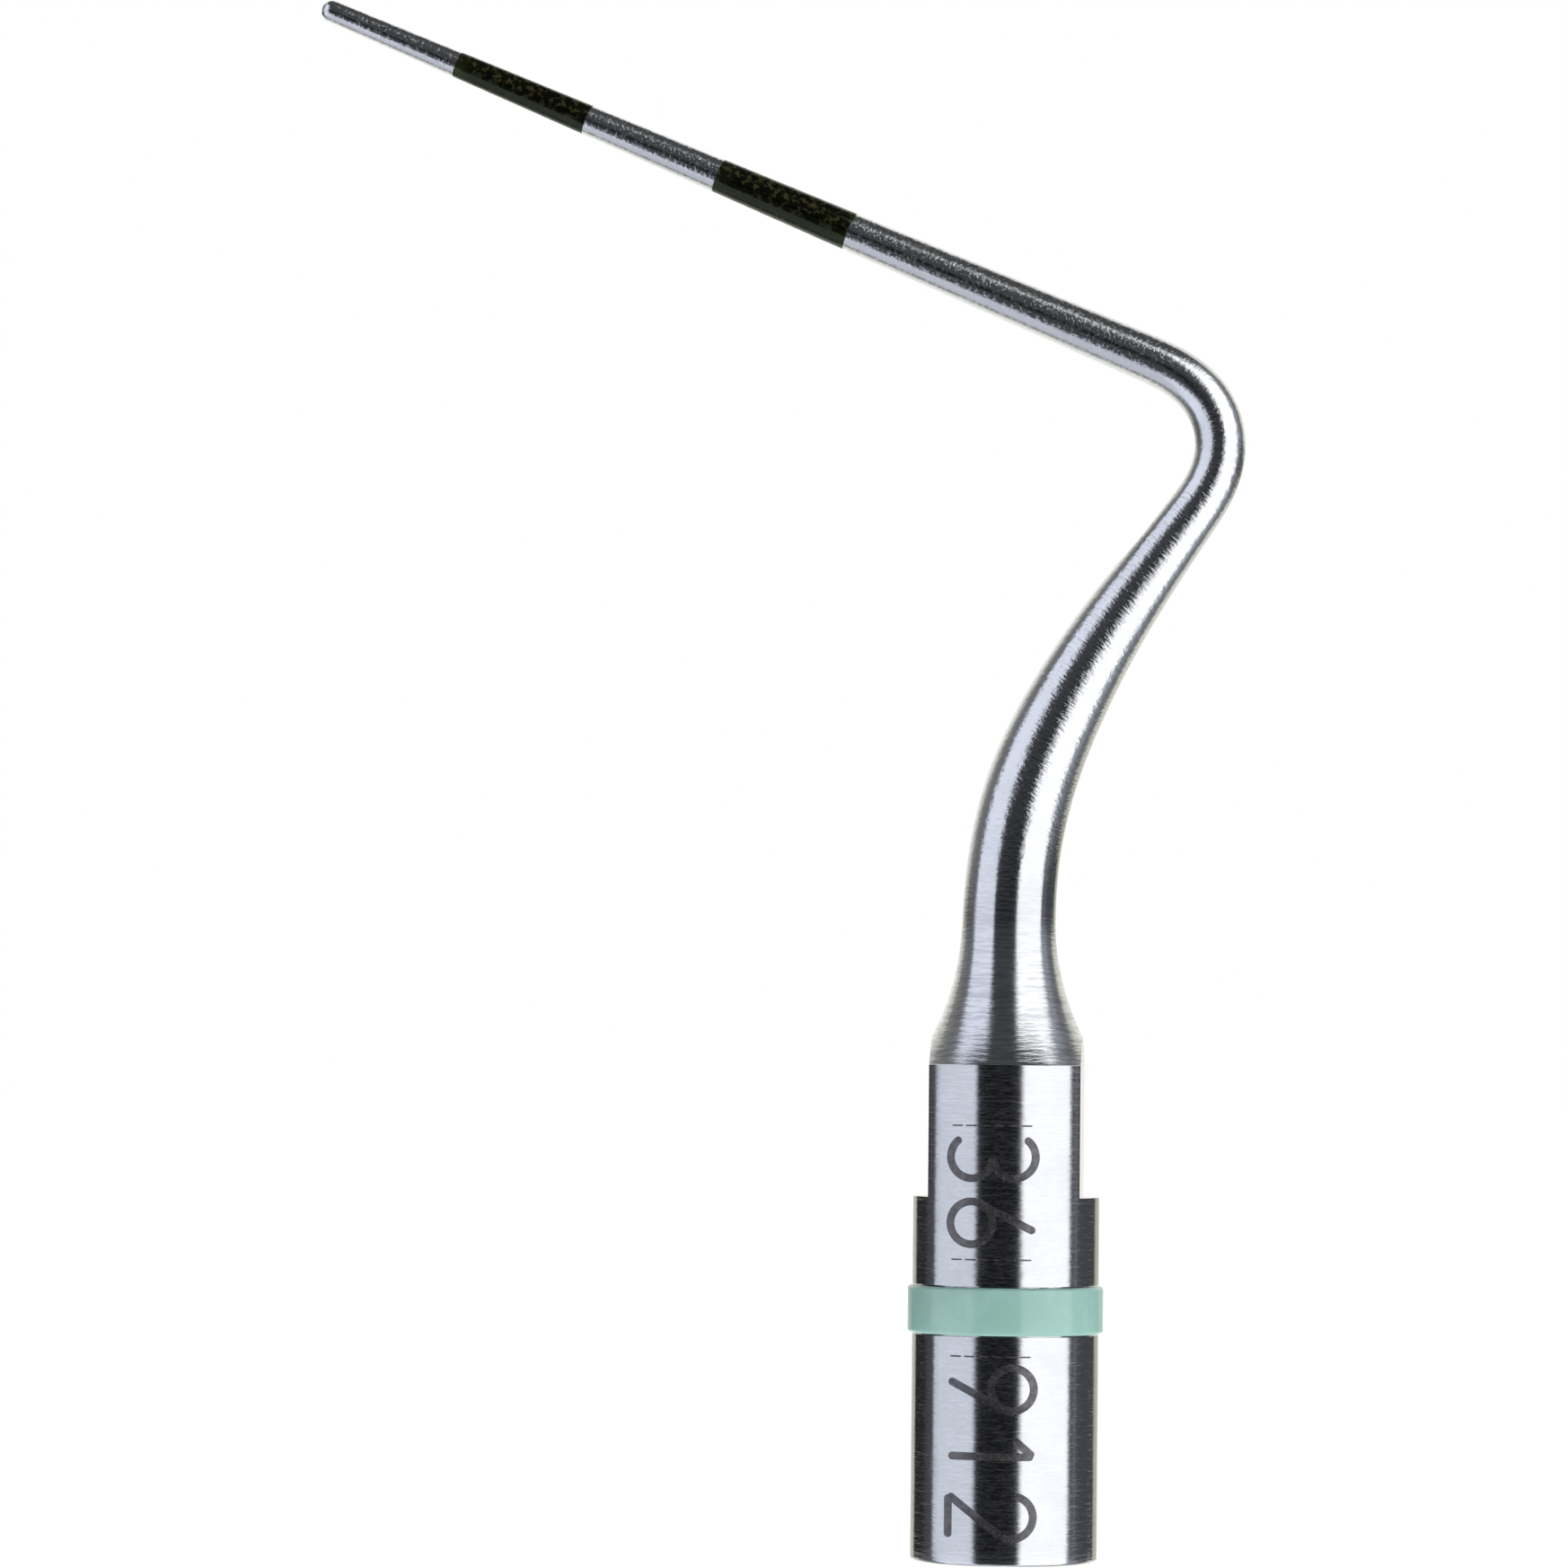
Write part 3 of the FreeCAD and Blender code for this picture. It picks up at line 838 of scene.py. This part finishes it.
def makeSteelInsert():
    body = tipBody
    steps = bodyStations()
    wire = wireMesh("insertWire", [pointAt(s) for s, recess in steps], {
        "along": [s for s, recess in steps], "recess": [recess for s, recess in steps]})
    builder = runTree("insertBuilder", wire, tipSweep, {
        "Sides": body["sides"], "Hub Radius": body["hubRadius"], "Hub Top": body["hubTop"],
        "Rim Round": body["rimRound"], "Flare Radius": body["flareRadius"],
        "Flare End": body["flareEnd"], "Tip Radius": body["tipRadius"],
        "Arm Taper": body["armTaper"], "Path Length": tipPath["length"],
        "Shank Extra": body["shankExtra"], "Thin Start": body["thinStart"],
        "Thin Length": body["thinLength"], "Material": steel})
    cutters = [makeFlatCutters(), makeThreadCutter(), makeWaterCutter()]
    for cutter in cutters:
        cut = builder.modifiers.new(cutter.name, "BOOLEAN")
        cut.operation = "DIFFERENCE"
        cut.solver = "EXACT"
        cut.object = cutter
    mesh = plainMesh("steelInsert", builder)
    for cutter in cutters:
        bpy.data.objects.remove(cutter)
    cleanShell(mesh, 28.0)
    storeAlong(mesh)
    return finishPiece("steelInsert", mesh, steel, "insert", "steel_insert")


def finishPiece(name, mesh, material, body, node):
    mesh.materials.clear()
    mesh.materials.append(material)
    piece = linkObject(name, mesh)
    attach(piece, body)
    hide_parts(node)
    print(name, "made,", len(mesh.polygons), "faces")
    return piece


def roundedCorner(x, y, radius, startAngle, steps=5):
    # quarter circle round (x, y)
    points = []
    for i in range(steps + 1):
        angle = math.radians(startAngle + 90.0 * i / steps)
        points.append((x + radius * math.cos(angle), y + radius * math.sin(angle)))
    return points


def turnedShell(name, outline, sides):
    # closed outline of (path length, radius) turned round the centreline
    shell = bmesh.new()
    rows = []
    for i in range(sides):
        angle = 2.0 * math.pi * i / sides
        row = []
        for s, radius in outline:
            heading = directionAt(s)
            inward = Vector((-heading.z, 0, heading.x))
            out = inward * math.cos(angle) + Vector((0, 1, 0)) * math.sin(angle)
            row.append(shell.verts.new((pointAt(s) + out * radius) * mm))
        rows.append(row)
    for i in range(sides):
        row, beside = rows[i], rows[(i + 1) % sides]
        for j in range(len(outline)):
            k = (j + 1) % len(outline)
            shell.faces.new((row[j], beside[j], beside[k], row[k]))
    mesh = bpy.data.meshes.new(name)
    shell.to_mesh(mesh)
    shell.free()
    return cleanShell(mesh, 40.0)


colourRing = {"boreRadius": 1.73, "outerRound": 0.07, "boreRound": 0.02, "sides": 160}


def makeColourRing():
    ring = colourRing
    low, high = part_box("colour_ring")
    bottom, top, outer = low[2] / mm, high[2] / mm, high[1] / mm
    big, small, bore = ring["outerRound"], ring["boreRound"], ring["boreRadius"]
    outline = roundedCorner(bottom + big, outer - big, big, 90.0)[::-1]
    outline = roundedCorner(bottom + small, bore + small, small, 180.0)[::-1] + outline
    outline += roundedCorner(top - big, outer - big, big, 0.0)[::-1]
    outline += roundedCorner(top - small, bore + small, small, 270.0)[::-1]
    mesh = turnedShell("colourRing", outline, ring["sides"])
    return finishPiece("colourRing", mesh, makeRingPolymer(), "ring", "colour_ring")


def makeDepthBand(near, far):
    # coat let into its shallow recess, its face a hair proud of the steel
    bands = depthBands
    start, end = bandSpan(near, far)
    edge = bands["edgeRound"]
    outline = []
    for s, rise in roundedCorner(start + edge, -edge, edge, 90.0)[::-1]:
        outline.append((s, bodyRadius(s) + bands["proud"] + rise))
    for s in spread(start + edge, end - edge, 0.2)[1:]:
        outline.append((s, bodyRadius(s) + bands["proud"]))
    for s, rise in roundedCorner(end - edge, -edge, edge, 0.0)[::-1]:
        outline.append((s, bodyRadius(s) + bands["proud"] + rise))
    for s in (end - 0.006, start + 0.006):
        outline.append((s, bodyRadius(s) - bands["recess"] + 0.001))
    name = "depthBand%dto%d" % (near, far)
    mesh = turnedShell(name, outline, bands["sides"])
    storeAlong(mesh)
    coat = makeBandCoat("coat%dto%d" % (near, far), start, end)
    return finishPiece(name, mesh, coat, "insert", "depth_band_%d_%d_mm" % (near, far))


# numerals of the depth scale and the thin scribed lines between them
# each numeral with the height where it starts; the text reads downwards
hubNumerals = {
    "places": [("3", 8.72), ("6", 7.38), ("9", 4.02), ("1", 2.66), ("2", 1.44)],
    "height": 1.74,
    "middle": -0.19,
    "stroke": 0.16,
    "scribedHeights": [8.92, 6.20, 4.24],
    "scribedLength": 1.70,
    "scribedStroke": 0.034,
    "dashes": 6,
    "dashFill": 0.84,
    "floor": 0.020,
    "lip": 0.035,
    "foot": 0.25,
    "pointSpacing": 0.02,
}


def arcStroke(u, v, radius, start, sweep):
    steps = max(round(abs(sweep) / 9.0), 2)
    points = []
    for i in range(steps + 1):
        angle = math.radians(start + sweep * i / steps)
        points.append((u + radius * math.cos(angle), v + radius * math.sin(angle)))
    return points


def numeralStrokes(numeral, b):
    # strokes of a numeral four b tall, its middle line at v = 0
    if numeral == "1":
        return [[(b, -2 * b), (b, 2 * b)], [(b, 2 * b), (0.2 * b, 1.1 * b)]]
    if numeral == "2":
        turn = (b + b * math.cos(math.radians(30)), 0.5 * b)
        return [arcStroke(b, b, b, -30, 200), [turn, (0, -2 * b)], [(0, -2 * b), (2 * b, -2 * b)]]
    if numeral == "3":
        return [arcStroke(b, b, b, -90, 240), arcStroke(b, -b, b, -150, 240)]
    if numeral == "6":
        return [arcStroke(b, -b, b, 0, 380), [(0.05 * b, -0.7 * b), (1.4 * b, 2 * b)]]
    return [arcStroke(b, b, b, 0, 380), [(1.95 * b, 0.7 * b), (0.6 * b, -2 * b)]]


def makeScaleNumerals():
    marks = hubNumerals
    strokes = []
    for numeral, start in marks["places"]:
        for stroke in numeralStrokes(numeral, marks["height"] / 4.0):
            placed = [(marks["middle"] + v, start - u) for u, v in stroke]
            strokes.append((placed, marks["stroke"]))
    dashStep = marks["scribedLength"] / marks["dashes"]
    for height in marks["scribedHeights"]:
        for i in range(marks["dashes"]):
            left = marks["middle"] - marks["scribedLength"] / 2.0 + i * dashStep
            dash = [(left, height), (left + dashStep * marks["dashFill"], height)]
            strokes.append((dash, marks["scribedStroke"]))
    points, edges, widths = [], [], []
    for stroke, width in strokes:
        for i in range(len(stroke) - 1):
            edges.append((len(points) + i, len(points) + i + 1))
        points += [Vector((x, z, 0)) * mm for x, z in stroke]
        widths += [width] * len(stroke)
    wire = bpy.data.meshes.new("numeralWire")
    wire.from_pydata(points, edges, [])
    wire.attributes.new("width", "FLOAT", "POINT").data.foreach_set("value", widths)
    fill = makeEngravingFill()
    builder = runTree("numeralBuilder", wire, engravedStroke, {
        "Hub Radius": tipBody["hubRadius"], "Point Spacing": marks["pointSpacing"],
        "Floor": marks["floor"], "Lip": marks["lip"], "Foot": marks["foot"], "Material": fill})
    mesh = plainMesh("scaleNumerals", builder)
    cleanShell(mesh, 60.0)
    return finishPiece("scaleNumerals", mesh, fill, "insert", "scale_numerals")


makeSteelInsert()
makeColourRing()
for near, far in depthBands["marks"]:
    makeDepthBand(near, far)
makeScaleNumerals()


# studio round the object, as polished steel shows it: azimuths in degrees from the
# direction that faces the hub, positive to the right; each panel has its brightness
# level with the object and its brightness further up or down
studio = {
    "facing": 2.8,
    "panels": [
        (-180, 2.0, (0.95, 0.94, 0.88), (1.00, 1.00, 0.96)),
        (-164, 5.0, (0.50, 0.51, 0.44), (0.90, 0.90, 0.84)),
        (-146, 3.0, (0.018, 0.018, 0.020), (0.60, 0.60, 0.55)),
        (-131, 4.0, (0.018, 0.018, 0.020), (0.22, 0.22, 0.21)),
        (-115, 6.0, (0.050, 0.052, 0.058), (0.16, 0.16, 0.165)),
        (-98, 2.5, (0.62, 0.65, 0.73), (0.18, 0.19, 0.21)),
        (-92, 3.0, (0.62, 0.65, 0.73), (0.82, 0.85, 0.97)),
        (-38, 2.5, (0.003, 0.003, 0.004), (0.052, 0.054, 0.059)),
        (19, 3.0, (1.12, 1.13, 1.17), (1.30, 1.31, 1.33)),
        (85, 2.5, (0.060, 0.062, 0.070), (0.30, 0.32, 0.36)),
        (104, 6.0, (0.055, 0.056, 0.064), (0.17, 0.17, 0.18)),
        (128, 3.0, (0.055, 0.055, 0.058), (0.68, 0.68, 0.60)),
        (143, 3.0, (0.46, 0.47, 0.38), (0.85, 0.85, 0.79)),
        (163, 6.0, (0.95, 0.94, 0.88), (1.00, 1.00, 0.96)),
    ],
    "levelMiddle": -2.5,
    "levelWithin": 3.0,
    "farFrom": 9.0,
    "streakMiddle": 96.0,
    "streakHalf": 3.0,
    "streak": (0.16, 0.16, 0.18),
    "above": (0.060, 0.062, 0.064),
    "aboveFrom": 55.0,
    "below": (0.56, 0.58, 0.65),
    "belowFrom": -42.0,
    "softHeight": 5.0,
    "belowSpan": (100.0, 120.0),
    "shadeSpan": (-60.0, 10.0),
    "shadeSide": 0.6,
    "backdrop": (1.0, 1.0, 1.0),
}


def makeStudio():
    world = bpy.data.worlds.new("studio")
    bpy.context.scene.world = world
    world.use_nodes = True
    tree = world.node_tree
    tree.nodes.clear()
    place = tree.nodes.new("ShaderNodeTexCoord")
    parts = tree.nodes.new("ShaderNodeSeparateXYZ")
    tree.links.new(place.outputs["Generated"], parts.inputs[0])
    x, y, z = parts.outputs
    degrees = 180.0 / math.pi
    azimuth = calc(tree, "MULTIPLY", calc(
        tree, "ARCTAN2", x, calc(tree, "MULTIPLY", y, -1.0)), degrees)
    azimuth = calc(tree, "SUBTRACT", azimuth, studio["facing"])
    azimuth = calc(tree, "SUBTRACT", calc(
        tree, "MODULO", calc(tree, "ADD", azimuth, 540.0), 360.0), 180.0)
    elevation = calc(tree, "MULTIPLY", calc(tree, "ARCSINE", z), degrees)
    offLevel = calc(tree, "ABSOLUTE", calc(tree, "SUBTRACT", elevation, studio["levelMiddle"]))
    away = ramp(tree, offLevel, studio["levelWithin"], studio["farFrom"])
    colour = None
    for start, soft, level, far in studio["panels"]:
        panel = blendColours(tree, away, level + (1.0,), far + (1.0,))
        if colour is None:
            colour = panel
        else:
            colour = blendColours(tree, ramp(tree, azimuth, start - soft, start + soft),
                                  colour, panel)
    offStreak = calc(tree, "ABSOLUTE", calc(tree, "SUBTRACT", azimuth, studio["streakMiddle"]))
    streak = calc(tree, "MULTIPLY", ramp(tree, offStreak, 0.0, studio["streakHalf"], 1.0, 0.0),
                  calc(tree, "SUBTRACT", 1.0, away))
    colour = blendColours(tree, streak, colour, studio["streak"] + (1.0,))
    soft = studio["softHeight"]
    colour = blendColours(tree, ramp(tree, elevation, studio["aboveFrom"] - soft,
                                     studio["aboveFrom"] + soft), colour, studio["above"] + (1.0,))
    inFront = ramp(tree, calc(tree, "ABSOLUTE", azimuth), *studio["belowSpan"], 1.0, 0.0)
    under = ramp(tree, elevation, studio["belowFrom"] - soft,
                 studio["belowFrom"] + soft, 1.0, 0.0)
    colour = blendColours(tree, calc(tree, "MULTIPLY", under, inFront),
                          colour, studio["below"] + (1.0,))
    rays = tree.nodes.new("ShaderNodeLightPath")
    # one side gives diffuse rays less light than mirror rays, and the camera sees only white
    soften = calc(tree, "MULTIPLY", rays.outputs["Is Diffuse Ray"],
                  ramp(tree, azimuth, *studio["shadeSpan"], 1.0, 0.0))
    colour = blendColours(tree, calc(tree, "MULTIPLY", soften, studio["shadeSide"]),
                          colour, (0.0, 0.0, 0.0, 1.0))
    colour = blendColours(tree, rays.outputs["Is Camera Ray"], colour,
                          studio["backdrop"] + (1.0,))
    lamp = tree.nodes.new("ShaderNodeBackground")
    tree.links.new(colour, lamp.inputs["Color"])
    output = tree.nodes.new("ShaderNodeOutputWorld")
    tree.links.new(lamp.outputs[0], output.inputs["Surface"])


floorPlane = {"size": 3000.0, "gap": 0.02, "glow": 1.0, "paint": (0.35, 0.35, 0.35, 1.0)}


def makeFloor():
    mesh = bpy.data.meshes.new("studioFloor")
    half = floorPlane["size"] / 2.0 * mm
    level = -floorPlane["gap"] * mm
    corners = [(-half, -half, level), (half, -half, level),
               (half, half, level), (-half, half, level)]
    mesh.from_pydata(corners, [], [(0, 1, 2, 3)])
    material, tree, shader = newMaterial("paleFloor", {
        "Base Color": floorPlane["paint"], "Roughness": 1.0, "Specular IOR Level": 0.0,
        "Emission Color": (1.0, 1.0, 1.0, 1.0), "Emission Strength": floorPlane["glow"]})
    mesh.materials.append(material)
    item = linkObject("studioFloor", mesh)
    item.visible_glossy = False


# viewing angle, with the small tilt that the object stands at
viewpoint = {
    "azimuth": 4.9,
    "elevation": -2.7,
    "distance": 125.0,
    "target": (-4.685, 0.0, 15.93),
    "tilt": 0.591,
    "lens": 138.4,
    "sensor": 36.0,
}


def makeCamera():
    view = viewpoint
    turn = math.radians(view["azimuth"])
    rise = math.radians(view["elevation"])
    back = Vector((math.sin(turn) * math.cos(rise), -math.cos(turn) * math.cos(rise),
                   math.sin(rise)))
    right = Vector((math.cos(turn), math.sin(turn), 0.0))
    up = back.cross(right)
    tilt = math.radians(view["tilt"])
    tiltedRight = right * math.cos(tilt) + up * math.sin(tilt)
    tiltedUp = up * math.cos(tilt) - right * math.sin(tilt)
    data = bpy.data.cameras.new("mainCamera")
    data.lens = view["lens"]
    data.sensor_width = view["sensor"]
    data.clip_start = 0.01
    camera = bpy.data.objects.new("mainCamera", data)
    bpy.context.scene.collection.objects.link(camera)
    axes = Matrix((tiltedRight, tiltedUp, back)).transposed().to_4x4()
    place = (Vector(view["target"]) + back * view["distance"]) * mm
    camera.matrix_world = Matrix.Translation(place) @ axes
    bpy.context.scene.camera = camera


makeStudio()
makeFloor()
makeCamera()
bpy.context.scene.view_settings.view_transform = "Standard"
print("studio, floor and camera ready")
